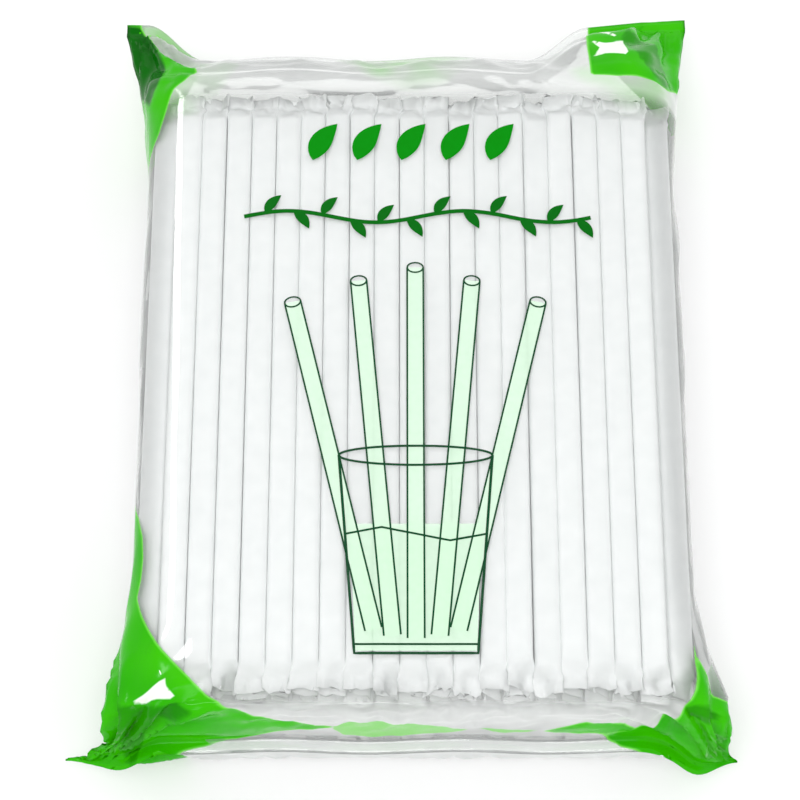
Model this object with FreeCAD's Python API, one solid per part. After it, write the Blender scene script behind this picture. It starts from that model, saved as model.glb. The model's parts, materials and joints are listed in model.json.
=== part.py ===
import FreeCAD, Part
import math
import os
import random

# A pillow pack of clear film filled with drinking straws, each one sealed in its own paper sleeve.
# The pack lies on its back. X runs across it, +Y along the straws to the slack end, and Z is up.
# The origin is the middle of the underside. Sizes are in millimetres and angles in degrees.

# Wrapped straw: a round straw in a paper sleeve that is pleated along both sides and crimped at both ends
straw_diameter = 6.0
straw_length = 210.0
sleeve_paper = 0.1
sleeve_width = 8.2
sleeve_crown = 3.4
sleeve_end = 3.5
sleeve_taper = 9.0
crimp_thickness = 0.4
crimp_clearance = 1.0

# Bundle: layers of wrapped straws, with fewer in a layer where the film turns its round corners
layer_count = 8
straws_in_wide_layer = 21
straw_gap = 0.3
layer_gap = 0.15
end_scatter = 1.5
scatter_seed = 7

# Film: a tube of film round the bundle, sealed flat across both ends
film_wall = 0.3
film_rest_gap = 0.1
film_top_gap = 0.4
film_side_gap = 1.5
film_end_gap = 2.0
film_corner = 16.0
seal_width = 5.0
sharpest_fold = 0.5
ear_spread = 1.5

# Slack end at +Y: the film runs on past the bundle, and both ends of the seal rise into ears
slack_reach = 23.0
slack_fullness = 1.7
slack_left_tip = 103.0
slack_left_ear_width = 28.0
slack_left_ear_slope = 20.0
slack_left_ear_rise = 13.5
slack_right_tip = 99.5
slack_right_ear_width = 58.0
slack_right_ear_slope = 22.0
slack_right_ear_rise = 15.0
slack_left_flare = 4.0
slack_right_flare = 3.0
slack_flare_length = 36.0

# Tight end at -Y: the film is drawn down over the bundle's end, and both ears hang towards the floor
tight_reach = 6.0
tight_fullness = 2.8
tight_left_tip = 112.5
tight_right_tip = 105.5
tight_ear_width = 34.0
tight_ear_flat = 4.0
tight_ear_drop = 14.0
tight_ear_solid = 8.0
tight_ear_solid_fade = 7
tight_left_flare = 7.0
tight_right_flare = 10.0
tight_flare_length = 46.0

# Slack folds of the film: gathers towards both seals, and soft waves along both sides and along the seals
gather_depth = 1.6
gather_pitch = 21.0
gather_side_fade = 4
side_wave = 0.7
side_wave_pitch = 145.0
seal_wave = 1.4
seal_wave_pitch = 58.0

# How finely the film is folded into flat facets
front_facets = 12
corner_facets = 4
side_facets = 2
body_spans = 11
end_spans = 6
plane_tolerance = 1e-7

tight_ear_slope = tight_ear_width - tight_ear_flat
sleeve_height = straw_diameter + 2 * sleeve_paper
sleeve_length = straw_length + 2 * sleeve_end
straw_pitch = sleeve_width + straw_gap
layer_pitch = sleeve_height + layer_gap
room_half_width = straws_in_wide_layer * straw_pitch / 2 + film_side_gap
room_half_length = sleeve_length / 2 + end_scatter + film_end_gap
room_height = film_rest_gap + layer_count * layer_pitch + film_top_gap
middle_height = film_wall + room_height / 2


def smooth_step(value, start, end):
    """0 up to start, 1 past end, and a smooth rise between them."""
    share = min(max((value - start) / (end - start), 0.0), 1.0)
    return share * share * (3 - 2 * share)


def closed_solid(outlines):
    """One solid from the outlines of its flat faces."""
    faces = [Part.Face(Part.makePolygon(points + [points[0]])) for points in outlines]
    shell = Part.makeShell(faces)
    shell.sewShape()
    solid = Part.makeSolid(shell)
    if solid.Volume < 0:
        solid.reverse()
    return solid


# Wrapped straws


def sleeve_section(x, y, z):
    """The sleeve round the straw: flat above and below it, with a pleat out at each side."""
    crown, pleat, rise = sleeve_crown / 2, sleeve_width / 2, sleeve_height / 2
    outline = [(pleat, 0), (crown, rise), (-crown, rise), (-pleat, 0), (-crown, -rise), (crown, -rise)]
    return [FreeCAD.Vector(x + across, y, z + up) for across, up in outline]


def crimp_section(x, y, z, lean):
    """The sleeve's flat end. It lies across the sleeve's corners, and lean is 1 or -1 for which two."""
    turn = math.atan2(sleeve_height, sleeve_width)
    wide = (math.hypot(sleeve_width, sleeve_height) - crimp_clearance) / 2
    thick = crimp_thickness / 2
    outline = [(wide, thick), (-wide, thick), (-wide, -thick), (wide, -thick)]
    cosine, sine = math.cos(turn), lean * math.sin(turn)
    return [
        FreeCAD.Vector(x + across * cosine - up * sine, y, z + across * sine + up * cosine)
        for across, up in outline
    ]


def taper_faces(full, flat):
    """Faces from the sleeve's full section to its flat end, and the flat end itself."""
    right, high_right, high_left, left, low_left, low_right = full
    flat_high_right, flat_high_left, flat_low_left, flat_low_right = flat
    return [
        [right, flat_low_right, flat_high_right],
        [right, flat_high_right, high_right],
        [high_right, flat_high_right, flat_high_left],
        [high_right, flat_high_left, high_left],
        [high_left, flat_high_left, left],
        [left, flat_high_left, flat_low_left],
        [left, flat_low_left, low_left],
        [low_left, flat_low_left, flat_low_right],
        [low_left, flat_low_right, low_right],
        [low_right, flat_low_right, right],
        flat,
    ]


def wrapped_straw(x, y, z, lean):
    """One straw in its sleeve, with its middle at x, y, z."""
    near, far = y - sleeve_length / 2, y + sleeve_length / 2
    near_full = sleeve_section(x, near + sleeve_taper, z)
    far_full = sleeve_section(x, far - sleeve_taper, z)
    sides = len(near_full)
    faces = [
        [near_full[i], near_full[(i + 1) % sides], far_full[(i + 1) % sides], far_full[i]]
        for i in range(sides)
    ]
    faces += taper_faces(near_full, crimp_section(x, near, z, lean))
    faces += taper_faces(far_full, crimp_section(x, far, z, lean))
    return closed_solid(faces)


def room_at(height):
    """Half the width inside the film at this height above the film's inner underside."""
    into_corner = film_corner - min(height, room_height - height)
    if into_corner <= 0:
        return room_half_width
    facet_loss = film_corner * (1 - math.cos(math.radians(45) / corner_facets))
    return room_half_width - film_corner + math.sqrt(film_corner**2 - into_corner**2) - facet_loss


def straw_layer(index, scatter):
    """One layer of wrapped straws, as many as fit side by side between the film's round corners."""
    bottom = film_rest_gap + index * layer_pitch
    at_crowns = min(room_at(bottom), room_at(bottom + sleeve_height)) - sleeve_crown / 2
    at_pleats = room_at(bottom + sleeve_height / 2) - sleeve_width / 2
    count = min(straws_in_wide_layer, int(2 * min(at_crowns, at_pleats) / straw_pitch) + 1)
    height = film_wall + bottom + sleeve_height / 2
    straws = []
    for place in range(count):
        x = (place - (count - 1) / 2) * straw_pitch
        y = scatter.uniform(-end_scatter, end_scatter)
        straws.append(wrapped_straw(x, y, height, scatter.choice((-1, 1))))
    return straws


# Film bag. Its outer skin is a stack of rings, each one turn of the film round the pack, and its inner
# skin is the same rings moved inwards by the film's wall.


def section_outline():
    """One turn of the film round the bundle, from the middle of its left side over the front.

    An entry is the place across, the height from mid-height and the share of the way along the seal,
    from its left tip to its right tip, at which that line of the film meets the seal.
    """
    radius = film_corner + film_wall
    flat_half = room_half_width - film_corner
    side_half = room_height / 2 - film_corner
    quarter = [(flat_half + radius, side_half * i / side_facets) for i in range(side_facets)]
    for i in range(corner_facets + 1):
        angle = math.radians(90) * i / corner_facets
        quarter.append((flat_half + radius * math.cos(angle), side_half + radius * math.sin(angle)))
    half_facets = front_facets // 2
    quarter += [(flat_half * (1 - i / half_facets), side_half + radius) for i in range(1, half_facets + 1)]
    front = [(-across, up) for across, up in quarter] + quarter[-2::-1]
    lengths = [0.0]
    for start, end in zip(front, front[1:]):
        lengths.append(lengths[-1] + math.dist(start, end))
    front = [(across, up, length / lengths[-1]) for (across, up), length in zip(front, lengths)]
    return front + [(across, -up, share) for across, up, share in front[-2:0:-1]]


def side_swell(y, tight_flare, slack_flare):
    """How far the middle of one side of the film stands out at this place along the pack."""
    swell = tight_flare * (1 - smooth_step(y, -room_half_length, tight_flare_length - room_half_length))
    swell += slack_flare * smooth_step(y, room_half_length - slack_flare_length, room_half_length)
    return swell + side_wave * (1 + math.sin(2 * math.pi * y / side_wave_pitch))


def body_ring(y):
    """The film round the bundle at this place along the pack."""
    left_swell = side_swell(y, tight_left_flare, slack_left_flare)
    right_swell = side_swell(y, tight_right_flare, slack_right_flare)
    points = []
    for across, up, _ in section_outline():
        swell = right_swell if across > 0 else -left_swell
        x = across + swell * (1 - abs(up) / middle_height)
        points.append(FreeCAD.Vector(x, y, middle_height + up))
    return points


def slack_seal(x):
    """How far past the bundle the slack end's seal lies at x, and how far above mid-height."""
    left_start, right_start = slack_left_tip - slack_left_ear_width, slack_right_tip - slack_right_ear_width
    reach = slack_reach
    reach += slack_left_ear_rise * smooth_step(-x, left_start, left_start + slack_left_ear_slope)
    reach += slack_right_ear_rise * smooth_step(x, right_start, right_start + slack_right_ear_slope)
    return reach, seal_wave * math.sin(2 * math.pi * x / seal_wave_pitch)


def tight_seal(x):
    """How far past the bundle the tight end's seal lies at x, and how far above mid-height."""
    left_start, right_start = tight_left_tip - tight_ear_width, tight_right_tip - tight_ear_width
    drop = smooth_step(-x, left_start, left_start + tight_ear_slope)
    drop += smooth_step(x, right_start, right_start + tight_ear_slope)
    return tight_reach, seal_wave * math.sin(2 * math.pi * x / seal_wave_pitch) - tight_ear_drop * drop


def end_ring(share, seal, left_tip, right_tip, fullness, way):
    """The film between the bundle's end, at share 0, and the seal, at share 1. way is 1 towards +Y."""
    angle = math.radians(90) * share
    flatten = max(math.cos(angle), 0.0) ** (2 / fullness)
    advance = math.sin(angle) ** (2 / fullness)
    spread = math.sin(angle) ** ear_spread
    points = []
    for (_, up, place), start in zip(section_outline(), body_ring(way * room_half_length)):
        x_seal = (left_tip + right_tip) * place - left_tip
        reach, rise = seal(x_seal)
        side = (up > 0) - (up < 0)
        fold = gather_depth * math.sin(2 * angle) * (1 - (2 * place - 1) ** gather_side_fade)
        fold *= math.sin(2 * math.pi * x_seal / gather_pitch + side)
        x = start.x + (x_seal - start.x) * spread
        y = room_half_length + reach * advance + abs(fold) * flatten
        z = middle_height + rise * advance + up * flatten + side * film_wall * (1 - flatten)
        points.append(FreeCAD.Vector(x, way * y, max(z + max(side, 0) * fold, 0.0)))
    return points


def outer_rings():
    """The rings of the film's outer skin, from the tight end's seal to the slack end's seal."""
    shares = [i / end_spans for i in range(1, end_spans + 1)]
    span = 2 * room_half_length / body_spans
    tight = (tight_seal, tight_left_tip, tight_right_tip, tight_fullness, -1)
    slack = (slack_seal, slack_left_tip, slack_right_tip, slack_fullness, 1)
    rings = [end_ring(share, *tight) for share in reversed(shares)]
    rings += [body_ring(i * span - room_half_length) for i in range(body_spans + 1)]
    return rings + [end_ring(share, *slack) for share in shares]


def inner_point(rings, ring, place):
    """The inner skin's point under a point of the outer skin, one wall in from each facet round it."""
    here, before, after = rings[ring], rings[ring - 1], rings[ring + 1]
    last, following = place - 1, (place + 1) % len(here)
    centre = here[place]
    normals = []
    for beside, along in ((last, before), (following, before), (following, after), (last, after)):
        normal = (here[beside] - centre).cross(along[place] - centre).normalize()
        normals.append(normal if (beside == last) == (along is before) else -normal)
    outward = sum(normals, FreeCAD.Vector()).normalize()
    squareness = min(outward.dot(normal) for normal in normals)
    return centre - outward * (film_wall / max(squareness, sharpest_fold))


def pressed_ring(ring):
    """The seal's ring pressed flat and drawn back by the wall. Front and back share its one line."""
    half = len(ring) // 2
    back = FreeCAD.Vector(0, math.copysign(film_wall, ring[0].y), 0)
    line = [(ring[i] + ring[-i]) * 0.5 - back for i in range(half + 1)]
    line[0] = (line[0] + line[1]) * 0.5
    line[half] = (line[half] + line[half - 1]) * 0.5
    return line + line[-2:0:-1]


def inner_rings(outer):
    """The rings of the film's inner skin, from seal to seal. It stops short of the tight end's thin ears."""
    shares = [share for _, _, share in section_outline()]
    half = len(shares) // 2
    last = len(outer) - 1
    rings = []
    for index, ring in enumerate(outer):
        if index in (0, last):
            points = pressed_ring(ring)
        else:
            points = [inner_point(outer, index, place) for place in range(len(ring))]
        into_end = max(end_spans - index, 0) / end_spans
        if into_end > 0:
            points[0] = (points[1] + points[-1]) * 0.5
            points[half] = (points[half - 1] + points[half + 1]) * 0.5
        moves = [tight_ear_solid * into_end * (1 - 2 * share) ** tight_ear_solid_fade for share in shares]
        rings.append([point + FreeCAD.Vector(move, 0, 0) for point, move in zip(points, moves)])
    return rings


def skin_outlines(rings):
    """Flat facets between the rings: one where four points lie in a plane, and two where they don't."""
    outlines = []
    for lower, upper in zip(rings, rings[1:]):
        for i in range(len(lower)):
            a, b, c, d = lower[i - 1], lower[i], upper[i], upper[i - 1]
            normal = (c - a).cross(d - b).normalize()
            if abs((b - a).dot(normal)) < plane_tolerance:
                outlines.append([a, b, c, d])
            else:
                outlines += [[a, b, c], [a, c, d]]
    return outlines


def cut_edge_outlines(ring):
    """Facets along the cut edge of a seal, between the front film and the back film."""
    half = len(ring) // 2
    outlines = [[ring[0], ring[1], ring[-1]], [ring[half], ring[half + 1], ring[half - 1]]]
    for i in range(1, half - 1):
        outlines += [[ring[i], ring[i + 1], ring[-i]], [ring[i + 1], ring[-i - 1], ring[-i]]]
    return outlines


def film_bag():
    """The film's outer skin with both seals, less the room inside it."""
    rings = outer_rings()
    tight_edge = [point - FreeCAD.Vector(0, seal_width, 0) for point in rings[0]]
    slack_edge = [point + FreeCAD.Vector(0, seal_width, 0) for point in rings[-1]]
    outlines = cut_edge_outlines(tight_edge) + cut_edge_outlines(slack_edge)
    outlines += skin_outlines([tight_edge] + rings + [slack_edge])
    room = closed_solid(skin_outlines(inner_rings(rings)))
    return closed_solid(outlines).cut(room).removeSplitter()


def main():
    os.makedirs("parts", exist_ok=True)
    film_bag().exportStep("parts/film_bag.step")
    scatter = random.Random(scatter_seed)
    for index in range(layer_count):
        straws = straw_layer(index, scatter)
        Part.makeCompound(straws).exportStep(f"parts/straw_layer_{index + 1:02d}.step")


main()
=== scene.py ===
import json
import math
import random

import bmesh
import bpy
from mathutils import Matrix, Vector, noise
from mathutils.bvhtree import BVHTree

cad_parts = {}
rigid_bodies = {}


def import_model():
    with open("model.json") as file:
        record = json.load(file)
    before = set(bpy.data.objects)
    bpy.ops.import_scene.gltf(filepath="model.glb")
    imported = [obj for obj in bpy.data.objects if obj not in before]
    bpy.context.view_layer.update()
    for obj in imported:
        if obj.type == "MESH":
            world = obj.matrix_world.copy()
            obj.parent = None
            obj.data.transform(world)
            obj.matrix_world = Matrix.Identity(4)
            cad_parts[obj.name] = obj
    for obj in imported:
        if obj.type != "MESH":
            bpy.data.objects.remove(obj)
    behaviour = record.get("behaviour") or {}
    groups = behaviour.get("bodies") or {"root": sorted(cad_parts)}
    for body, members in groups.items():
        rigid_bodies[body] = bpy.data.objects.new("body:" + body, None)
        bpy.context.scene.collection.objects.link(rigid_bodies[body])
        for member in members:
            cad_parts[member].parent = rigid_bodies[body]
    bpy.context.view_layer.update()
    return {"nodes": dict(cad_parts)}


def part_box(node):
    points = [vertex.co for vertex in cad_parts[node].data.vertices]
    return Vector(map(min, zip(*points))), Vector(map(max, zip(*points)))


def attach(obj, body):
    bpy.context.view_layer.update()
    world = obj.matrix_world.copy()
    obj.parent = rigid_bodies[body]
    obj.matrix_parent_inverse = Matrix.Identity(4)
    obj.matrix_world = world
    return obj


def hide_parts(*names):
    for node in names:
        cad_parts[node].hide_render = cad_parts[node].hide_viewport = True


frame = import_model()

scene = bpy.context.scene

# WRAPPED STRAWS
# Each straw is sealed in its own sleeve of thin white paper, folded round it, glued along one seam and
# crimped flat at both ends. They lie in layers, and every sleeve takes the place of its solid.

straw_layers = sorted(name for name in frame["nodes"] if name.startswith("straw_layer_"))
straw_pitch = 0.0085
sleeve_length = 0.217
sleeve_width = 0.00847
sleeve_height = 0.00615
sleeve_fullness = 4.2
sleeve_taper = 0.0065
crimp_width = 0.0102
crimp_thickness = 0.0004
crimp_band = 0.0035
crimp_wave = 0.0009
crimp_swing = 3.5
seam_step = 0.00014
body_sag = 0.00007
slack_shift = 0.0012
straw_end = 0.1
crumple_length = 0.008
lowest_paper = 0.0005
# The most that a crimped end is turned, in degrees: -1 is the tight end and 1 is the slack end.
crimp_turns = {-1: 55, 1: 18}


def face_outwards(mesh):
    """Turns all the faces of a closed mesh outwards."""
    shell = bmesh.new()
    shell.from_mesh(mesh)
    bmesh.ops.recalc_face_normals(shell, faces=shell.faces)
    shell.to_mesh(mesh)
    shell.free()


def sleeve_outline(around, flat, wave):
    """One turn round a sleeve: flat is 0 for the full round section and 1 for the crimped end."""
    outline = []
    for k in range(around):
        angle = 2 * math.pi * k / around
        cosine, sine = math.cos(angle), math.sin(angle)
        round_x = math.copysign(abs(cosine) ** (2 / sleeve_fullness), cosine) * sleeve_width / 2
        round_z = math.copysign(abs(sine) ** (2 / sleeve_fullness), sine) * sleeve_height / 2
        if 0 < k < around // 4:
            round_z += seam_step * (1 - flat)
        flat_x = cosine * crimp_width / 2
        flat_z = math.copysign(crimp_thickness / 2, sine) if abs(sine) > 0.01 else 0.0
        flat_z += wave * math.sin(crimp_swing * cosine)
        outline.append((round_x + (flat_x - round_x) * flat, round_z + (flat_z - round_z) * flat))
    return outline


def sleeve_mesh(name, around, body_rows, taper_rows, seed):
    """One sleeve along Y with its middle at the origin: round over the straw and flat at both ends."""
    chance = random.Random(seed)
    inner = sleeve_length / 2 - crimp_band - sleeve_taper
    taper = [(i / taper_rows, inner + sleeve_taper * i / taper_rows) for i in range(taper_rows + 1)]
    taper.append((1.0, sleeve_length / 2))
    body = [(0.0, inner * (2 * i / body_rows - 1)) for i in range(1, body_rows)]
    rows = [(flat, -y) for flat, y in reversed(taper)] + body + taper
    turns = {}
    for sign, most in crimp_turns.items():
        turns[sign] = math.radians(chance.uniform(2, most)) * chance.choice((-1, 1))
    waves = {sign: chance.uniform(-crimp_wave, crimp_wave) for sign in (-1, 1)}
    points = []
    for flat, y in rows:
        sign = -1 if y < 0 else 1
        eased = flat * flat * (3 - 2 * flat)
        cosine, sine = math.cos(turns[sign] * eased), math.sin(turns[sign] * eased)
        sag = chance.uniform(-body_sag, body_sag)
        for across, up in sleeve_outline(around, eased, waves[sign]):
            points.append((across * cosine - up * sine, y, across * sine + up * cosine + sag))
    faces = [tuple(range(around)), tuple(range(len(points) - 1, len(points) - around - 1, -1))]
    for start in range(0, len(points) - around, around):
        for k in range(around):
            beside = (k + 1) % around
            faces.append((start + k, start + k + around, start + beside + around, start + beside))
    mesh = bpy.data.meshes.new(name)
    mesh.from_pydata(points, [], faces)
    face_outwards(mesh)
    mesh.polygons.foreach_set("use_smooth", [True] * len(mesh.polygons))
    return mesh


def straw_places(layer):
    """The middle of each straw in one layer, read from its solids."""
    low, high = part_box(layer)
    count = round((high.x - low.x) / straw_pitch)
    first = (low.x + high.x) / 2 - (count - 1) * straw_pitch / 2
    spans = [[1.0, -1.0] for _ in range(count)]
    for vertex in frame["nodes"][layer].data.vertices:
        place = min(max(round((vertex.co.x - first) / straw_pitch), 0), count - 1)
        spans[place][0] = min(spans[place][0], vertex.co.y)
        spans[place][1] = max(spans[place][1], vertex.co.y)
    height = (low.z + high.z) / 2
    middles = [(near + far) / 2 + slack_shift for near, far in spans]
    return [(first + i * straw_pitch, middle, height) for i, middle in enumerate(middles)]


def linear(hex_colour):
    """An sRGB hex colour as linear red, green, blue and alpha."""
    parts = [int(hex_colour[i : i + 2], 16) / 255 for i in (1, 3, 5)]
    return [c / 12.92 if c <= 0.04045 else ((c + 0.055) / 1.055) ** 2.4 for c in parts] + [1.0]


def node(tree, kind, settings=None, links=None):
    """Adds a node. Settings are properties or input values, and links are sockets for its inputs.

    An input that shares its name with others goes by its number: 0, 6 and 7 are the factor and the two
    colours of a mix, and 2 and 3, or 4 and 5 for whole numbers, are the limits of a random value.
    """
    made = tree.nodes.new(kind)
    for key, value in (settings or {}).items():
        if isinstance(key, str) and hasattr(made, key):
            setattr(made, key, value)
        else:
            made.inputs[key].default_value = value
    for key, socket in (links or {}).items():
        tree.links.new(socket, made.inputs[key])
    return made


def two_tones(tree, factor, first, second):
    """A colour between two hex colours by a factor from 0 to 1."""
    mix = node(tree, "ShaderNodeMix", {"data_type": "RGBA"}, {0: factor})
    mix.inputs[6].default_value = linear(first)
    mix.inputs[7].default_value = linear(second)
    return mix.outputs[2]


def new_material(name):
    """An empty node material and its output node."""
    material = bpy.data.materials.new(name)
    material.use_nodes = True
    material.node_tree.nodes.clear()
    return material, node(material.node_tree, "ShaderNodeOutputMaterial")


# Bleached machine-glazed tissue: soft white and matte, with faint clouds in its formation and fine fibres.
sleeve_paper, output = new_material("bleached_sleeve_paper")
tree = sleeve_paper.node_tree
place = node(tree, "ShaderNodeTexCoord").outputs["Object"]
clouds = node(tree, "ShaderNodeTexNoise", {"Scale": 160.0, "Detail": 1.0}, {"Vector": place})
paper_tone = two_tones(tree, clouds.outputs[0], "#F0F2F2", "#FAFBFB")
stretch = node(tree, "ShaderNodeMapping", {"Scale": (2600.0, 500.0, 2600.0)}, {"Vector": place})
fibres = node(tree, "ShaderNodeTexNoise", {"Scale": 1.0, "Detail": 1.0}, {"Vector": stretch.outputs[0]})
grain = node(tree, "ShaderNodeBump", {"Strength": 0.15, "Distance": 0.0001}, {"Height": fibres.outputs[0]})
surface = node(
    tree,
    "ShaderNodeBsdfPrincipled",
    {"Roughness": 0.6, "IOR": 1.45},
    {"Base Color": paper_tone, "Normal": grain.outputs[0]},
)
tree.links.new(surface.outputs[0], output.inputs["Surface"])


def straw_laying_nodes():
    """Sets one sleeve on each point, turned a little, and crumples the paper past the straws' ends."""
    tree = bpy.data.node_groups.new("lay_wrapped_straws", "GeometryNodeTree")
    face = tree.interface
    for label, kind in (
        ("Places", "NodeSocketGeometry"),
        ("Sleeves", "NodeSocketCollection"),
        ("Paper", "NodeSocketMaterial"),
        ("Seed", "NodeSocketInt"),
        ("Roll", "NodeSocketFloat"),
        ("Slant", "NodeSocketFloat"),
        ("Crumple", "NodeSocketFloat"),
        ("Straw end", "NodeSocketFloat"),
    ):
        face.new_socket(label, in_out="INPUT", socket_type=kind)
    face.new_socket("Straws", in_out="OUTPUT", socket_type="NodeSocketGeometry")
    given = node(tree, "NodeGroupInput").outputs
    chosen = {"Collection": given["Sleeves"]}
    kinds = node(tree, "GeometryNodeCollectionInfo", {"Separate Children": True}, chosen)
    seed = {"Seed": given["Seed"]}
    pick = node(tree, "FunctionNodeRandomValue", {"data_type": "INT", 4: 0, 5: 99}, seed)
    turn = node(tree, "FunctionNodeRandomValue", {"data_type": "FLOAT", 2: -1.0, 3: 1.0}, seed)
    rolled = node(tree, "ShaderNodeMath", {"operation": "MULTIPLY"}, {0: turn.outputs[1], 1: given["Roll"]})
    lean = node(tree, "FunctionNodeRandomValue", {"data_type": "FLOAT", 2: -1.0, 3: 1.0, "Seed": 5})
    slant = {0: lean.outputs[1], 1: given["Slant"]}
    slanted = node(tree, "ShaderNodeMath", {"operation": "MULTIPLY"}, slant)
    angle = node(tree, "ShaderNodeCombineXYZ", None, {1: rolled.outputs[0], 2: slanted.outputs[0]})
    lay = node(
        tree,
        "GeometryNodeInstanceOnPoints",
        {"Pick Instance": True},
        {
            "Points": given["Places"],
            "Instance": kinds.outputs[0],
            "Instance Index": pick.outputs[2],
            "Rotation": angle.outputs[0],
        },
    )
    apart = node(tree, "GeometryNodeRealizeInstances", None, {0: lay.outputs[0]})
    where = node(tree, "GeometryNodeInputPosition").outputs[0]
    along = node(tree, "ShaderNodeSeparateXYZ", None, {0: where}).outputs[1]
    out = node(tree, "ShaderNodeMath", {"operation": "ABSOLUTE"}, {0: along}).outputs[0]
    start = given["Straw end"]
    full = node(tree, "ShaderNodeMath", {"operation": "ADD", 1: crumple_length}, {0: start}).outputs[0]
    ramp = node(tree, "ShaderNodeMapRange", None, {"Value": out, "From Min": start, "From Max": full})
    wrinkles = node(tree, "ShaderNodeTexNoise", {"Scale": 320.0, "Detail": 2.0}, {"Vector": where}).outputs[1]
    centre = {"operation": "SUBTRACT", 1: (0.5, 0.5, 0.5)}
    either_way = node(tree, "ShaderNodeVectorMath", centre, {0: wrinkles}).outputs[0]
    crumpled = {0: ramp.outputs[0], 1: given["Crumple"]}
    amount = node(tree, "ShaderNodeMath", {"operation": "MULTIPLY"}, crumpled).outputs[0]
    push = node(tree, "ShaderNodeVectorMath", {"operation": "SCALE"}, {0: either_way, "Scale": amount})
    pushed = {"Geometry": apart.outputs[0], "Offset": push.outputs[0]}
    moved = node(tree, "GeometryNodeSetPosition", None, pushed).outputs[0]
    done = node(tree, "GeometryNodeSetMaterial", None, {"Geometry": moved, "Material": given["Paper"]})
    node(tree, "NodeGroupOutput", None, {0: done.outputs[0]})
    return tree


def made_by_nodes(name, start_mesh, tree, values):
    """A new object whose plain mesh is what a geometry nodes tree makes of the start mesh."""
    carrier = bpy.data.objects.new(name + "_start", start_mesh)
    scene.collection.objects.link(carrier)
    modifier = carrier.modifiers.new("nodes", "NODES")
    modifier.node_group = tree
    for item in tree.interface.items_tree:
        if item.in_out == "INPUT" and item.name in values:
            modifier[item.identifier] = values[item.name]
    evaluated = carrier.evaluated_get(bpy.context.evaluated_depsgraph_get())
    made = bpy.data.objects.new(name, bpy.data.meshes.new_from_object(evaluated))
    bpy.data.objects.remove(carrier)
    scene.collection.objects.link(made)
    return made


def sleeve_set(name, around, body_rows, taper_rows, first_seed):
    """A collection of six sleeves that differ in how their ends are pressed."""
    collection = bpy.data.collections.new(name)
    for seed in range(first_seed, first_seed + 6):
        mesh = sleeve_mesh(f"{name}_{seed}", around, body_rows, taper_rows, seed)
        collection.objects.link(bpy.data.objects.new(mesh.name, mesh))
    return collection


# The outermost layers are seen whole, so their sleeves are finer than those of the layers between.
outer_sleeves = sleeve_set("outer_sleeve", around=28, body_rows=12, taper_rows=8, first_seed=1)
inner_sleeves = sleeve_set("inner_sleeve", around=12, body_rows=2, taper_rows=4, first_seed=51)
lay_straws = straw_laying_nodes()
for index, layer in enumerate(straw_layers):
    seen_whole = index in (0, len(straw_layers) - 1)
    places = bpy.data.meshes.new(layer + "_places")
    places.from_pydata(straw_places(layer), [], [])
    settings = {
        "Sleeves": outer_sleeves if seen_whole else inner_sleeves,
        "Paper": sleeve_paper,
        "Seed": 11 + index,
        "Roll": 0.12,
        "Slant": 0.0016,
        "Crumple": 0.0065,
        "Straw end": straw_end,
    }
    straws = made_by_nodes(layer.replace("straw_layer", "wrapped_straws"), places, lay_straws, settings)
    for vertex in straws.data.vertices:
        vertex.co.z = max(vertex.co.z, lowest_paper)
    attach(straws, "root")
    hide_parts(layer)
for collection in (outer_sleeves, inner_sleeves):
    for spare in list(collection.objects):
        bpy.data.objects.remove(spare)
    bpy.data.collections.remove(collection)


# FILM BAG
# One tube of clear polypropylene film, 0.05 mm thick, pulled over the bundle and heat-sealed flat across
# both ends. The film that the round ends don't need is gathered there and stands out in four ears.

bundle_low, bundle_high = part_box(straw_layers[3])
film_wall = 0.0003
film_rest = 0.00015
side_gap = 0.00165
corner_radius = 0.0163
half_width = (bundle_high.x - bundle_low.x) / 2 + side_gap + film_wall
half_height = 0.02625
end_place = 0.112
seal_width = 0.005
seal_wave = 0.0014
seal_wave_pitch = 0.058
side_wave = 0.0007
side_wave_pitch = 0.145
gather_depth = 0.0016
gather_pitch = 0.021
gather_drift = 0.03
# Half the room between the front film and the back film where they are sealed.
film_parting = 0.00005
# How far the sides flare towards the seals, on the left and on the right, and along what length.
tight_flares, tight_flare_length = (0.007, 0.010), 0.046
slack_flares, slack_flare_length = (0.004, 0.003), 0.036
# How full the film's end is before it flattens, and how late it spreads to the seal's width.
tight_fullness, tight_spread = 2.8, 7.0
slack_fullness, slack_spread = 1.7, 1.5
# Room that the creases leave for the bundle: half its width, half its length, and its bottom and top.
room_x, room_y, room_bottom, room_top = 0.0895, 0.1106, 0.0003, 0.0514
# Half widths of the seals, to the left and to the right.
slack_tips = (0.103, 0.0995)
tight_tips = (0.1125, 0.1055)
# Where each ear starts and where it is full, from the middle out, and what it adds to its seal's reach.
slack_reach = 0.023
slack_left_ear, slack_left_rise = (0.075, 0.095), 0.0135
slack_right_ear, slack_right_rise = (0.0415, 0.0635), 0.0126
slack_right_slope, slack_slope_rise = (0.062, 0.106), 0.005
tight_reach = 0.0035
tight_left_ear, tight_right_ear = (0.0785, 0.1085), (0.0715, 0.1015)
tight_ear_rise, tight_ear_drop = 0.0025, 0.014
tight_bulge, tight_bulge_place, tight_bulge_length = 0.0025, 0.092, 0.007
# The tight seal's width at an ear's tip, as a share of its full width, and the share of its length to there.
tip_width, tip_length = 0.15, 0.085
# The film's grid.
end_rows = 24
seal_rows = 3
body_rows = 120
half_columns = 128
columns = 2 * half_columns
row_count = body_rows + 2 * (end_rows + seal_rows) + 1


def smooth_step(value, start, end):
    """0 up to start, 1 past end, and a smooth rise between them."""
    share = min(max((value - start) / (end - start), 0.0), 1.0)
    return share * share * (3 - 2 * share)


flat_half = half_width - corner_radius
side_half = half_height - corner_radius
corner_arc = math.pi / 2 * corner_radius
front_length = 2 * (side_half + corner_arc + flat_half)


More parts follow.
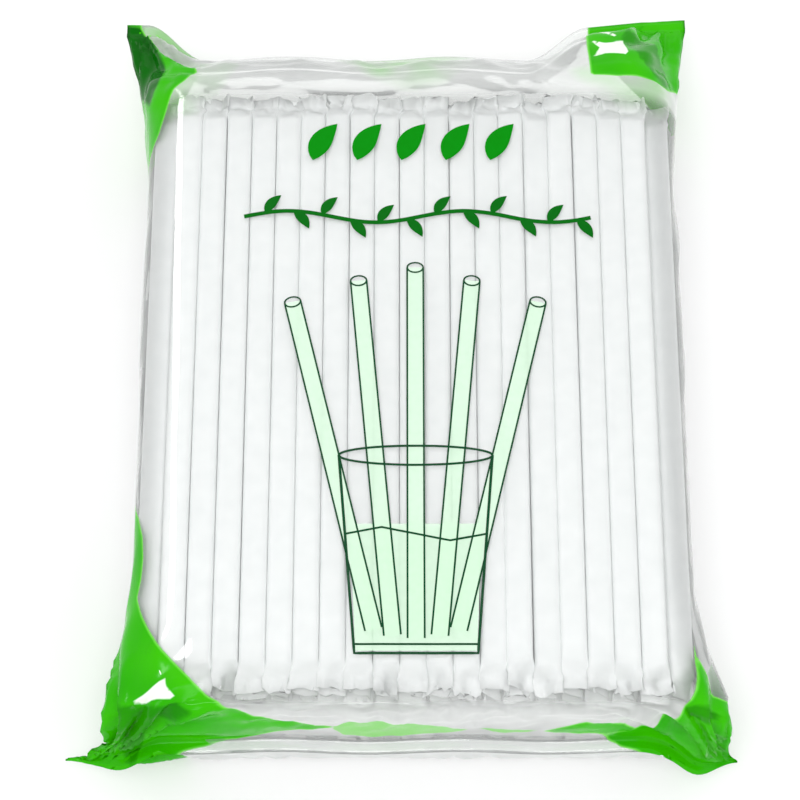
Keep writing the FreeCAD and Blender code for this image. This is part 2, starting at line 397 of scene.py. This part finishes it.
def section_point(share):
    """The film's section over the bundle, at a share of the way from its left side over the front."""
    from_middle = abs(share - 0.5) * front_length
    if from_middle < flat_half:
        across, up = from_middle, half_height
    elif from_middle < flat_half + corner_arc:
        angle = (from_middle - flat_half) / corner_radius
        across = flat_half + corner_radius * math.sin(angle)
        up = side_half + corner_radius * math.cos(angle)
    else:
        across, up = half_width, front_length / 2 - from_middle
    return math.copysign(across, share - 0.5), up


def side_swell(y, right):
    """How far the middle of the film's left or right side stands out at this place along the pack."""
    swell = tight_flares[right] * (1 - smooth_step(y, -end_place, tight_flare_length - end_place))
    swell += slack_flares[right] * smooth_step(y, end_place - slack_flare_length, end_place)
    return swell + side_wave * (1 + math.sin(2 * math.pi * y / side_wave_pitch))


def body_point(share, side, y):
    """A point of the film round the bundle. side is 1 on the front film and -1 on the back film."""
    across, up = section_point(share)
    swell = side_swell(y, across > 0) * (1 if across > 0 else -1)
    return Vector((across + swell * (1 - up / half_height), y, max(half_height + side * up, film_rest)))


def slack_seal(x):
    """How far past the bundle the slack end's seal lies at x, and its height from the middle."""
    reach = slack_reach + slack_left_rise * smooth_step(-x, *slack_left_ear)
    reach += slack_right_rise * smooth_step(x, *slack_right_ear)
    reach += slack_slope_rise * smooth_step(x, *slack_right_slope)
    return reach, seal_wave * math.sin(2 * math.pi * x / seal_wave_pitch)


def tight_seal(x):
    """How far past the bundle the tight end's seal lies at x, and its height from the middle."""
    drop = smooth_step(-x, *tight_left_ear) + smooth_step(x, *tight_right_ear)
    bulge = math.exp(-(((abs(x) - tight_bulge_place) / tight_bulge_length) ** 2))
    reach = tight_reach + tight_ear_rise * drop + tight_bulge * bulge
    return reach, seal_wave * math.sin(2 * math.pi * x / seal_wave_pitch) - tight_ear_drop * drop


def end_point(share, side, out, seal, tips, fullness, spread, way):
    """A point of the film between the bundle's end, where out is 0, and the seal, where it is 1."""
    angle = math.pi / 2 * out
    flatten = max(math.cos(angle), 0.0) ** (2 / fullness)
    advance = math.sin(angle) ** (2 / fullness)
    start = body_point(share, side, way * end_place)
    x_seal = (tips[0] + tips[1]) * share - tips[0]
    reach, rise = seal(x_seal)
    fold = gather_depth * math.sin(2 * angle) * (1 - (2 * share - 1) ** 4)
    drift = noise.noise(Vector((x_seal / gather_drift, way, side)))
    fold *= math.sin(2 * math.pi * x_seal / gather_pitch + side + 3 * drift) * (0.45 + drift)
    x = start.x + (x_seal - start.x) * math.sin(angle) ** spread
    y = end_place + reach * advance + abs(fold) * flatten
    z = half_height + rise * advance + side * (section_point(share)[1] * flatten + film_parting)
    return Vector((x, way * y, max(z + max(side, 0) * fold, film_rest)))


def tight_seal_width(share):
    """The tight seal's width at a share of the way along it. It narrows to a point at each ear's tip."""
    return seal_width * (tip_width + (1 - tip_width) * smooth_step(min(share, 1 - share), 0.0, tip_length))


def film_point(share, side, row):
    """A point of the film at one row of the grid, from the tight seal's edge to the slack seal's edge."""
    if row < end_rows + seal_rows:
        out = min((end_rows + seal_rows - row) / end_rows, 1.0)
        point = end_point(share, side, out, tight_seal, tight_tips, tight_fullness, tight_spread, -1)
        point.y -= tight_seal_width(share) * max(seal_rows - row, 0) / seal_rows
        return point
    row -= end_rows + seal_rows
    if row <= body_rows:
        return body_point(share, side, end_place * (2 * row / body_rows - 1))
    row -= body_rows
    out = min(row / end_rows, 1.0)
    point = end_point(share, side, out, slack_seal, slack_tips, slack_fullness, slack_spread, 1)
    point.y += seal_width * max(row - end_rows, 0) / seal_rows
    return point


def grid_place(column):
    """Which film a column of the grid is on, 1 for the front, and its share of the way across."""
    if column <= half_columns:
        return 1, column / half_columns
    return -1, 2 - column / half_columns


def film_shell():
    """The film's outer skin as a closed grid, and each vertex's place on the flat bag in millimetres."""
    points = []
    for row in range(row_count):
        for column in range(columns):
            side, share = grid_place(column)
            point = film_point(share, side, row)
            if column in (0, half_columns):
                point = (point + film_point(share, -side, row)) / 2
            points.append(point)
    flat = []
    lengths = [0.0] * columns
    for row in range(row_count):
        for column in range(columns):
            index = row * columns + column
            if row:
                step = points[index] - points[index - columns]
                lengths[column] += math.hypot(step.y, step.z)
            side, share = grid_place(column)
            flat.append([(share - 0.5) * front_length * 1000, lengths[column] * 1000, side])
    middle_row = row_count // 2 * columns
    halfway = [place[1] for place in flat[middle_row : middle_row + columns]]
    for index, place in enumerate(flat):
        place[1] -= halfway[index % columns]
    faces = []
    for start in range(0, (row_count - 1) * columns, columns):
        for column in range(columns):
            low, beside = start + column, start + (column + 1) % columns
            faces.append((low, beside, beside + columns, low + columns))
    for start, turn in ((0, -1), ((row_count - 1) * columns, 1)):
        for column in range(half_columns):
            across, beside = (columns - column) % columns, (columns - column - 1) % columns
            edge = [start + column, start + column + 1, start + beside, start + across]
            edge = [index for i, index in enumerate(edge) if index not in edge[:i]]
            faces.append(edge[::turn])
    return points, flat, faces


# Folds of the film: pleats run out from each ear, and small creases cross the gathered ends. An ear has its
# tip's place on the flat bag, how close its pleats are, and their reach and depth, in millimetres.
ears = [
    (-108.0, 157.0, 10, 58.0, 2.2),
    (108.0, 160.0, 8, 60.0, 2.0),
    (-106.0, -141.0, 12, 72.0, 3.0),
    (104.0, -139.0, 11, 58.0, 2.6),
]


def ridge(value):
    """A sharp fold: a triangle wave between -1 and 1."""
    return 4 * abs(value - math.floor(value + 0.5)) - 1


def crease_height(u, v, side):
    """How far the film stands out from its smooth shape, in millimetres, at a place on the flat bag."""
    gathered = smooth_step(abs(v), 100, 122)
    to_side = smooth_step(abs(u), 74, 96)
    seed = 40.0 if side > 0 else 80.0
    pleat_share, calm = (1.0, 1.0) if side > 0 else (0.4, 0.3)
    warp = noise.noise(Vector((u / 22, v / 22, seed)))
    height = 0.0
    for tip_u, tip_v, pleats, reach, depth in ears:
        away = math.hypot(u - tip_u, v - tip_v)
        if away < reach:
            fade = smooth_step(away, 0, 14) * (1 - smooth_step(away, 0.35 * reach, reach))
            angle = math.atan2(v - tip_v, u - tip_u)
            turn = angle * pleats / (2 * math.pi) * 1.6 + warp * 0.9 + seed
            height += pleat_share * depth * fade * ridge(turn)
    if v > 0:
        along = noise.noise(Vector(((u + 0.8 * v) / 34, v / 5.5, seed + 7)))
        cross = noise.noise(Vector(((u - 0.6 * v) / 18, (v + 0.12 * u) / 9, seed + 21)))
        height += gathered * (0.9 * (1 - 2 * abs(along)) + 0.45 * (1 - 2 * abs(cross)) - 0.8)
    else:
        across = noise.noise(Vector((u / 7.5, v / 13, seed + 7)))
        cross = noise.noise(Vector(((u + 1.4 * v) / 11, (v - 0.5 * u) / 6, seed + 21)))
        height += calm * gathered * (0.85 * (1 - 2 * abs(across)) + 0.7 * (1 - 2 * abs(cross)) - 0.9)
    height += to_side * 0.75 * noise.noise(Vector(((u - 0.3 * v) / 8, v / 24, seed + 3)))
    slant = noise.noise(Vector(((u - 0.27 * v) / 6, v / 42, seed + 60)))
    return height + 0.1 * slant * (1 + 3 * to_side)


def crease(mesh, flat):
    """Moves the film's vertices to its folds, clear of the straws and of the floor. The seals stay flat."""
    normals = [normal.vector.copy() for normal in mesh.vertex_normals]
    for index, vertex in enumerate(mesh.vertices):
        row, column = divmod(index, columns)
        at_seal = min(row, row_count - 1 - row)
        at_side = min(column, abs(column - half_columns), columns - column)
        held = smooth_step(at_seal, 1, seal_rows + 9) * smooth_step(at_side, -1, 4)
        move = normals[index] * crease_height(*flat[index]) / 1000 * (0.06 + 0.94 * held)
        for _ in range(4):
            place = vertex.co + move
            beside = abs(place.x) < room_x and abs(place.y) < room_y
            if not (beside and room_bottom < place.z < room_top):
                break
            move *= 0.4
        place.z = max(place.z, film_rest)
        vertex.co = place


# The print's green corners as outlines on the flat bag, in millimetres. The back film's are plainer. Green
# ink covers the film, thin ink is a paler strip, faint ink only tints it, painted shade darkens the ink in
# the ears' folds, and painted highlights turn it pale at glare spots.
front_green = [
    [
        (-125, -32), (-97, -40), (-92, -47), (-89, -54), (-88, -62), (-88.5, -69), (-90, -75), (-87, -81.5),
        (-83, -88.5), (-79, -94.5), (-74, -100), (-69, -105.5), (-64, -110), (-58, -114), (-50, -118),
        (-42, -121.5), (-33, -124.5), (-21, -127.5), (-33, -131), (-42, -134), (-52, -139), (-63, -142.5),
        (-72, -145), (-76, -160), (-125, -160),
    ],
    [
        (64, -136), (70, -133.5), (76, -129), (79, -121), (82, -115.5), (85.5, -111.5), (88, -107),
        (89, -100), (89.5, -91), (93, -99), (97, -105.5), (106, -107.5), (125, -108), (125, -160),
        (80, -160), (77, -143.5), (67, -141),
    ],
    [(43, -131.5), (50, -127.8), (57, -125), (64, -125), (70, -127.5), (76, -131.5), (68, -134), (57, -135)],
    [
        (-125, 180), (-106, 180), (-104.5, 153), (-98, 143), (-92, 136), (-85.5, 131.5), (-79, 128.5),
        (-76.5, 122), (-79, 116.5), (-83.5, 111), (-86, 103), (-89, 96), (-94, 91), (-101, 86), (-125, 80),
    ],
    [
        (72, 180), (71.5, 160), (68.5, 146), (65.5, 133), (63, 117.5), (72, 116.6), (80, 117.6), (88, 116.5),
        (96, 117.5), (103, 121.5), (125, 124), (125, 180),
    ],
]
front_thin = [
    [
        (-24, -127), (-16, -122.5), (-6, -123.5), (5, -125.5), (13, -128), (23, -131.3), (13, -134),
        (0, -136.5), (-10, -137.5), (-19, -135.5),
    ],
    [(23, -131.3), (30, -130), (37, -129.8), (45, -131), (37, -133.4), (30, -133.2)],
]
front_faint = [
    [
        (-24, 152), (-14, 158), (4, 158), (20, 153), (30, 149), (22, 140), (18, 127), (10, 117), (-2, 114),
        (-13, 120), (-21, 133),
    ],
    [(-105, 153), (-98, 158), (-80, 158), (-80, 150), (-91, 133), (-97, 144)],
    [(-92, 134), (-77, 131), (-66, 124), (-69, 114), (-76, 105), (-84, 104), (-86, 112)],
    [(60, 119), (72, 119), (96, 119), (92, 112), (85, 105), (76, 106), (68, 112)],
]
# Patches where the ink is painted pale white: painted highlights that stand for glare on the crumpled film.
painted_glare_spots = [
    [
        (67.5, 138.5), (73, 136.2), (80.5, 139.5), (79.5, 133.5), (78.5, 126.8), (71, 128.8), (65.8, 127.5),
        (70, 132.5),
    ],
    [(70, 147), (72, 148.5), (79, 142.5), (77.5, 141)],
    [(-90.5, -111.5), (-84, -108.8), (-77.6, -104), (-77, -107.5), (-73.8, -111), (-82, -111.6)],
]
back_green = [
    [(-125, -30), (-107, -44), (-99, -62), (-90, -82), (-80, -96), (-74, -112), (-72, -160), (-125, -160)],
    [(125, -84), (102, -92), (94, -104), (88, -118), (84, -160), (125, -160)],
    [(-125, 78), (-106, 94), (-104, 120), (-104, 140), (-101, 180), (-125, 180)],
    [(125, 100), (103, 112), (92, 128), (80, 146), (70, 180), (125, 180)],
]
back_thin = [[(-106, 94), (-93, 108), (-88, 128), (-82, 146), (-75, 180), (-102, 180), (-105, 140)]]
back_faint = [[(-26, 180), (-22, 153), (-11, 145), (4, 142.5), (16, 147), (23, 154), (30, 180)]]
# Outlines where the green ink is darkened as painted shade of the ears' folds.
painted_shade_outlines = [
    [(-125, 153), (-105, 153), (-96, 139), (-91.5, 130), (-90, 120), (-94, 110), (-103, 118), (-125, 130)],
    [(80, 140), (84, 146), (90, 142), (96, 131), (97, 121), (93, 117), (87, 119), (82, 128)],
    [
        (-98, -109), (-86, -112.5), (-75.8, -114), (-69.5, -115), (-76, -120), (-84, -121.5), (-84, -136),
        (-87, -145), (-90, -141), (-93, -120),
    ],
    [(85, -114), (88, -111.5), (95, -110.5), (98, -113), (92, -116.5), (86, -116)],
]
# How far inside an outline a place is taken to be where no outline is near it.
far_outside = -9.0
# No ink reaches this part of the film: half its width, and its ends.
bare_half_width, bare_low, bare_high = 54, -112, 110
# Only the slack end's left ear gets the full painted fold shade. In the other ears the painted shade stays
# lighter.
painted_shade_cap = 0.05


def depth_inside(outline, u, v):
    """How far inside a closed outline a place lies. It is negative outside."""
    nearest, inside = 1e9, False
    for (au, av), (bu, bv) in zip(outline, outline[1:] + outline[:1]):
        du, dv = bu - au, bv - av
        share = min(max(((u - au) * du + (v - av) * dv) / (du * du + dv * dv), 0.0), 1.0)
        nearest = min(nearest, math.hypot(u - au - share * du, v - av - share * dv))
        if (av > v) != (bv > v) and u < au + (v - av) * du / dv:
            inside = not inside
    return nearest if inside else -nearest


def deepest(outlines, u, v):
    """How far inside the nearest of some outlines a place lies, and never less than far outside."""
    return max([far_outside] + [depth_inside(outline, u, v) for outline in outlines])


film_points, film_flat, film_faces = film_shell()
mesh = bpy.data.meshes.new("clear_film_bag")
mesh.from_pydata(film_points, [], film_faces)
face_outwards(mesh)
crease(mesh, film_flat)
front_print = {
    "green_ink": front_green,
    "thin_ink": front_thin,
    "faint_ink": front_faint,
    "white_ink": painted_glare_spots,
    "dark_fold": painted_shade_outlines,
}
back_print = {
    "green_ink": back_green,
    "thin_ink": back_thin,
    "faint_ink": back_faint,
    "white_ink": [],
    "dark_fold": [],
}
film_values = {name: [] for name in (*front_print, "gathered")}
for u, v, side in film_flat:
    bare = abs(u) < bare_half_width and bare_low < v < bare_high
    for name, outlines in (front_print if side > 0 else back_print).items():
        film_values[name].append(far_outside if bare else deepest(outlines, u, v))
    if not (u < 0 < v):
        film_values["dark_fold"][-1] = min(film_values["dark_fold"][-1], painted_shade_cap)
    if v > 0:
        film_values["gathered"].append(smooth_step(v, 105, 113) * (1 - 0.45 * smooth_step(v, 116, 128)))
    else:
        film_values["gathered"].append(smooth_step(-v, 104, 118) * (1 - 0.6 * smooth_step(-v, 124, 134)))
for name, values in film_values.items():
    mesh.attributes.new(name, "FLOAT", "POINT").data.foreach_set("value", values)
# The patterns of the two films lie far apart, so that they differ.
pattern_parting = 0.05
flat_places = [value for u, v, side in film_flat for value in (u / 1000, v / 1000, side * pattern_parting)]
mesh.attributes.new("flat_place", "FLOAT_VECTOR", "POINT").data.foreach_set("vector", flat_places)
mesh.polygons.foreach_set("use_smooth", [True] * len(mesh.polygons))
film = bpy.data.objects.new("clear_film_bag", mesh)
scene.collection.objects.link(film)

# Cast polypropylene film printed with green ink: glass-clear, with a thin gloss, a little haze that
# grows where the film is seen edge-on, and fine drawn-out creases.
clear_film, output = new_material("printed_polypropylene_film")
tree = clear_film.node_tree


def film_value(name, start=None, end=None):
    """A value kept on the film's vertices, as it is or as a 0 to 1 step between start and end."""
    value = node(tree, "ShaderNodeAttribute", {"attribute_name": name}).outputs["Fac"]
    if start is None:
        return value
    return node(tree, "ShaderNodeMapRange", {"From Min": start, "From Max": end}, {"Value": value}).outputs[0]


def toned(factor, base, hex_colour):
    """A colour that goes over to a hex colour by a factor."""
    mix = node(tree, "ShaderNodeMix", {"data_type": "RGBA"}, {0: factor, 6: base})
    mix.inputs[7].default_value = linear(hex_colour)
    return mix.outputs[2]


flat_uv = node(tree, "ShaderNodeAttribute", {"attribute_name": "flat_place"}).outputs["Vector"]
gathered = film_value("gathered")
drawn_out = {"Scale": (110.0, 16.0, 110.0), "Rotation": (0, 0, 0.26)}
drawn = node(tree, "ShaderNodeMapping", drawn_out, {"Vector": flat_uv})
long_creases = node(tree, "ShaderNodeTexNoise", {"Detail": 1.0, "Scale": 1.0}, {"Vector": drawn.outputs[0]})
facets = node(tree, "ShaderNodeTexNoise", {"Scale": 150.0, "Detail": 0.0}, {"Vector": flat_uv})
facet_depth = node(tree, "ShaderNodeMath", {"operation": "MULTIPLY"}, {0: facets.outputs[0], 1: gathered})
shallow = {"Strength": 0.08, "Distance": 0.0008}
soft_bump = node(tree, "ShaderNodeBump", shallow, {"Height": long_creases.outputs[0]})
film_bump = node(
    tree,
    "ShaderNodeBump",
    {"Strength": 0.3, "Distance": 0.0025},
    {"Height": facet_depth.outputs[0], "Normal": soft_bump.outputs[0]},
)
see_through = node(tree, "ShaderNodeBsdfTransparent", {"Color": (0.985, 0.99, 0.987, 1.0)})
gloss = node(tree, "ShaderNodeBsdfGlossy", {"Roughness": 0.06}, {"Normal": film_bump.outputs[0]})
gleam = node(tree, "ShaderNodeFresnel", {"IOR": 1.5}, {"Normal": film_bump.outputs[0]})
both = {0: gleam.outputs[0], 1: see_through.outputs[0], 2: gloss.outputs[0]}
clear = node(tree, "ShaderNodeMixShader", None, both)
edge_on = node(tree, "ShaderNodeLayerWeight", {"Blend": 0.25}).outputs["Facing"]
side_haze = node(tree, "ShaderNodeMapRange", {"To Min": 0.03, "To Max": 0.4}, {"Value": edge_on}).outputs[0]
gathered_haze = {"operation": "MULTIPLY_ADD", 1: 0.38}
hazed = node(tree, "ShaderNodeMath", gathered_haze, {0: gathered, 2: side_haze}).outputs[0]
haze = node(tree, "ShaderNodeBsdfDiffuse", {"Color": linear("#F4F6F5")})
film_look = node(tree, "ShaderNodeMixShader", None, {0: hazed, 1: clear.outputs[0], 2: haze.outputs[0]})
ink_cloud = node(tree, "ShaderNodeTexNoise", {"Scale": 60.0, "Detail": 0.0}, {"Vector": flat_uv})
ink_tone = two_tones(tree, ink_cloud.outputs[0], "#209A00", "#3CB800")
# Painted shade: the ink turns dark green inside the ears' folds.
ink_tone = toned(film_value("dark_fold", -0.8, 0.8), ink_tone, "#015E00")
ink_tone = toned(film_value("green_ink", 0.9, 0.2), ink_tone, "#6CCB45")
# Painted highlight: the ink turns pale white at the glare spots.
ink_tone = toned(film_value("white_ink", -0.25, 0.25), ink_tone, "#E6F3E2")
ink = node(
    tree,
    "ShaderNodeBsdfPrincipled",
    {"Roughness": 0.15, "IOR": 1.5, "Specular IOR Level": 0.08},
    {"Base Color": ink_tone, "Normal": film_bump.outputs[0]},
)
thin = node(tree, "ShaderNodeMath", {"operation": "MULTIPLY", 1: 0.8}, {0: film_value("thin_ink", -0.3, 0.3)})
frayed = node(tree, "ShaderNodeTexNoise", {"Scale": 75.0, "Detail": 0.0}, {"Vector": flat_uv})
fraying = {"From Min": 0.3, "From Max": 0.7, "To Min": 0.08, "To Max": 0.42}
fray = node(tree, "ShaderNodeMapRange", fraying, {"Value": frayed.outputs[0]})
tint = {0: fray.outputs[0], 1: film_value("faint_ink", -5.0, 4.0)}
faint = node(tree, "ShaderNodeMath", {"operation": "MULTIPLY"}, tint)
full = film_value("green_ink", -0.25, 0.25)
part = node(tree, "ShaderNodeMath", {"operation": "MAXIMUM"}, {0: thin.outputs[0], 1: faint.outputs[0]})
cover = node(tree, "ShaderNodeMath", {"operation": "MAXIMUM"}, {0: part.outputs[0], 1: full})
inked = {0: cover.outputs[0], 1: film_look.outputs[0], 2: ink.outputs[0]}
surface = node(tree, "ShaderNodeMixShader", None, inked)
tree.links.new(surface.outputs[0], output.inputs["Surface"])
mesh.materials.append(clear_film)
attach(film, "root")
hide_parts("film_bag")


# PRINTED FIGURES
# Generic figures in green ink on the front film: a row of leaves, a sprig with small leaves, and a
# tumbler with straws in it. The tumbler and the straws have a pale green filling and a dark outline.

front_tree = BVHTree.FromObject(film, bpy.context.evaluated_depsgraph_get())
figure_points, figure_faces, figure_inks = [], [], []
ink_names = ("leaf_green", "sprig_green", "outline_green", "pale_green")
# Places and widths of the figures, in millimetres. A straw runs from its foot to its head.
leaf_count, first_leaf, leaf_pitch, leaf_row = 5, -34.0, 15.2, 82.6
leaf_length, leaf_width, leaf_angle = 16.6, 7.6, math.radians(60)
stem_points, stem_start, stem_step, stem_row = 50, -57, 2.4, 60.5
stem_wave, stem_wave_length, stem_width = 2.2, 9.5, 1.5
small_leaf_length, small_leaf_width, small_leaf_angle = 8.6, 3.6, 52
tumbler = [(-24, -28), (-18.5, -96), (20.5, -96), (26, -28)]
tumbler_base = [(-18.3, -93), (20.3, -93)]
drink = [(1, -95.2), (1, -52)]
drink_foot_width, drink_widening = 38.5, 0.0875
drink_top = [(-21.6, -55.5), (-10, -53.2), (1, -55.5), (12, -57.8), (24, -55.5)]
straws_in_tumbler = [
    ((-12.5, -88), (-40, 28)),
    ((-6.5, -90), (-18, 36)),
    ((1, -91), (1, 41)),
    ((8.5, -90), (20, 36)),
    ((14.5, -88), (42, 28)),
]
straw_width = 5.4
rim_depth = 3.4
tumbler_line, rim_line, drink_line, straw_line = 0.9, 0.8, 0.7, 0.6
# How far the inks lie above the film. Lines lie over fillings.
drink_lift, straw_lift, line_lift, top_lift = 0.04, 0.05, 0.09, 0.1


def on_film(x, y, lift):
    """The place on the front film above x and y, in millimetres, raised by the lift."""
    hit = front_tree.ray_cast(Vector((x / 1000, y / 1000, 0.08)), Vector((0, 0, -1)))[0]
    return (hit.x, hit.y, hit.z + lift / 1000)


def ribbon(path, widths, ink_name, lift, across=1):
    """A printed line along a path of places. widths are its full widths at each place."""
    start = len(figure_points)
    for i, (x, y) in enumerate(path):
        before, after = path[max(i - 1, 0)], path[min(i + 1, len(path) - 1)]
        way = Vector((after[0] - before[0], after[1] - before[1])).normalized()
        for k in range(across + 1):
            out = widths[i] * (k / across - 0.5)
            figure_points.append(on_film(x - way.y * out, y + way.x * out, lift))
    for i in range(len(path) - 1):
        for k in range(across):
            low = start + i * (across + 1) + k
            figure_faces.append((low, low + across + 1, low + across + 2, low + 1))
            figure_inks.append(ink_names.index(ink_name))


def sampled(path, step):
    """The path's places and places between them, about a step apart."""
    places = []
    for (ax, ay), (bx, by) in zip(path, path[1:]):
        count = max(round(math.hypot(bx - ax, by - ay) / step), 1)
        places += [(ax + (bx - ax) * i / count, ay + (by - ay) * i / count) for i in range(count)]
    return places + [path[-1]]


def line(path, width):
    """A printed outline of one width."""
    places = sampled(path, 2.0)
    ribbon(places, [width] * len(places), "outline_green", line_lift)


def leaf(x, y, length, width, angle, ink_name, lift):
    """A filled leaf from its stalk at x, y."""
    steps = 12
    cosine, sine = math.cos(angle), math.sin(angle)
    path, widths = [], []
    for i in range(steps + 1):
        share = i / steps
        bend = 0.08 * length * math.sin(math.pi * share)
        along = length * share
        path.append((x + along * cosine - bend * sine, y + along * sine + bend * cosine))
        widths.append(width * math.sin(math.pi * share**0.85) ** 0.9 + 0.02)
    ribbon(path, widths, ink_name, lift, 3)


def printed_straw(bottom, top, width):
    """A straw: a pale tube with a dark outline and a round mouth."""
    way = Vector((top[0] - bottom[0], top[1] - bottom[1])).normalized()
    side = Vector((-way.y, way.x)) * width / 2
    places = sampled([bottom, top], 3.0)
    ribbon(places, [width] * len(places), "pale_green", straw_lift, 2)
    for sign in (1, -1):
        line([(x + sign * side.x, y + sign * side.y) for x, y in (bottom, top)], straw_line)
    mouth = []
    for i in range(17):
        angle = 2 * math.pi * i / 16
        offset = side * math.cos(angle) + way * math.sin(angle) * width * 0.34
        mouth.append((top[0] + offset.x, top[1] + offset.y))
    ribbon(mouth, [straw_line] * len(mouth), "outline_green", top_lift)


for i in range(leaf_count):
    leaf_foot = first_leaf + leaf_pitch * i
    leaf(leaf_foot, leaf_row, leaf_length, leaf_width, leaf_angle, "leaf_green", line_lift)
stem = []
for i in range(stem_points):
    along = i * stem_step
    stem.append((stem_start + along, stem_row + stem_wave * math.sin(along / stem_wave_length)))
ribbon(stem, [stem_width] * len(stem), "sprig_green", line_lift)
for i, (x, y) in enumerate(stem[3:-2:4]):
    angle = math.radians(small_leaf_angle * (1 if i % 2 == 0 else -1))
    leaf(x, y, small_leaf_length, small_leaf_width, angle, "sprig_green", top_lift)

places = sampled(drink, 3.0)
drink_widths = [drink_foot_width + drink_widening * (y - drink[0][1]) for _, y in places]
ribbon(places, drink_widths, "pale_green", drink_lift, 14)
for foot, head in straws_in_tumbler:
    printed_straw(foot, head, straw_width)
line(tumbler, tumbler_line)
line(drink_top, drink_line)
(rim_left, rim_row), (rim_right, rim_row) = tumbler[0], tumbler[-1]
rim = []
for i in range(49):
    angle = i * math.pi / 24
    across = (rim_left + rim_right) / 2 + (rim_right - rim_left) / 2 * math.cos(angle)
    rim.append((across, rim_row + rim_depth * math.sin(angle)))
ribbon(rim, [rim_line] * len(rim), "outline_green", line_lift)
line(tumbler_base, drink_line)


def ink_material(name, hex_colour, cover_share):
    """Gravure ink on the film: even colour with faint mottling, thin enough to pass some light."""
    material, output = new_material(name)
    tree = material.node_tree
    place = node(tree, "ShaderNodeTexCoord").outputs["Object"]
    mottle = node(tree, "ShaderNodeTexNoise", {"Scale": 420.0, "Detail": 2.0}, {"Vector": place})
    darker = "#" + "".join(f"{max(int(hex_colour[i : i + 2], 16) - 9, 0):02X}" for i in (1, 3, 5))
    tone = two_tones(tree, mottle.outputs[0], darker, hex_colour)
    dull = {"Roughness": 0.4, "Specular IOR Level": 0.05}
    coat = node(tree, "ShaderNodeBsdfPrincipled", dull, {"Base Color": tone})
    hole = node(tree, "ShaderNodeBsdfTransparent")
    mix = node(tree, "ShaderNodeMixShader", {0: cover_share}, {1: hole.outputs[0], 2: coat.outputs[0]})
    tree.links.new(mix.outputs[0], output.inputs["Surface"])
    return material


mesh = bpy.data.meshes.new("printed_figures")
mesh.from_pydata(figure_points, [], figure_faces)
for name, colour, cover_share in (
    ("leaf_green", "#00850A", 1.0),
    ("sprig_green", "#056412", 1.0),
    ("outline_green", "#17462A", 0.97),
    ("pale_green", "#DCFBDF", 0.62),
):
    mesh.materials.append(ink_material(name + "_ink", colour, cover_share))
mesh.polygons.foreach_set("material_index", figure_inks)
shell = bmesh.new()
shell.from_mesh(mesh)
for face in shell.faces:
    if face.normal.z < 0:
        face.normal_flip()
shell.to_mesh(mesh)
shell.free()
figures = bpy.data.objects.new("printed_figures", mesh)
scene.collection.objects.link(figures)
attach(figures, "root")


# SURROUNDINGS
# A plain white floor that keeps the pack's soft shadow, soft studio lights and the camera.

floor_mesh = bpy.data.meshes.new("floor")
floor_mesh.from_pydata([(-3, -3, 0), (3, -3, 0), (3, 3, 0), (-3, 3, 0)], [], [(0, 1, 2, 3)])
floor = bpy.data.objects.new("floor", floor_mesh)
scene.collection.objects.link(floor)
white_floor, output = new_material("white_floor")
tree = white_floor.node_tree
matte = node(tree, "ShaderNodeBsdfDiffuse", {"Color": linear("#F6F6F6")})
glow = node(tree, "ShaderNodeEmission", {"Strength": 0.84})
seen = node(tree, "ShaderNodeLightPath").outputs["Is Camera Ray"]
share = node(tree, "ShaderNodeMath", {"operation": "MULTIPLY", 1: 0.35}, {0: seen})
both = {0: share.outputs[0], 1: matte.outputs[0], 2: glow.outputs[0]}
surface = node(tree, "ShaderNodeMixShader", None, both)
tree.links.new(surface.outputs[0], output.inputs["Surface"])
floor_mesh.materials.append(white_floor)

world = bpy.data.worlds.new("studio")
world.use_nodes = True
background = world.node_tree.nodes["Background"]
background.inputs["Color"].default_value = (1.0, 1.0, 1.0, 1.0)
background.inputs["Strength"].default_value = 1.0
scene.world = world


def area_light(name, place, target, size, power):
    """A soft rectangular lamp at place that faces target. size is its width and height."""
    lamp = bpy.data.lights.new(name, "AREA")
    lamp.shape = "RECTANGLE"
    lamp.size, lamp.size_y = size
    lamp.energy = power
    made = bpy.data.objects.new(name, lamp)
    made.location = place
    made.rotation_euler = (Vector(target) - Vector(place)).to_track_quat("-Z", "Y").to_euler()
    scene.collection.objects.link(made)
    return made


area_light("key", (-0.1, -0.55, 1.4), (0, 0, 0), (0.8, 0.6), 8.0)
area_light("right_fill", (1.3, 0.0, 0.8), (0, 0, 0.02), (0.8, 0.8), 1.5)
area_light("left_fill", (-1.3, 0.0, 0.8), (0, 0, 0.02), (0.8, 0.8), 0.5)
area_light("back_fill", (0.0, 1.3, 0.75), (0, 0.1, 0.02), (1.2, 0.4), 1.5)
# This lamp is only seen as a reflection in the gloss, along the film's left corner.
window = area_light("window", (-0.70, 0.60, 1.08), (-0.09, 0, 0.04), (0.17, 0.8), 8.5)
window.visible_diffuse = False

# The camera looks down on the pack from its tight end, as the photograph does. Its focal length is known in
# pixels of the photograph.
elevation = math.radians(65)
distance = 0.900
raised = 0.0034
focal_pixels, photo_pixels = 2659, 800
sensor_width = 36.0
target = Vector((-0.0041, 0, 0.027)) + raised * Vector((0, math.sin(elevation), math.cos(elevation)))
camera_data = bpy.data.cameras.new("camera")
camera_data.sensor_width = sensor_width
camera_data.lens = focal_pixels / photo_pixels * sensor_width
camera_data.clip_start = 0.01
camera = bpy.data.objects.new("camera", camera_data)
camera.location = target + distance * Vector((0, -math.cos(elevation), math.sin(elevation)))
camera.rotation_euler = (math.radians(90) - elevation, 0, 0)
scene.collection.objects.link(camera)
scene.camera = camera
scene.view_settings.view_transform = "Standard"
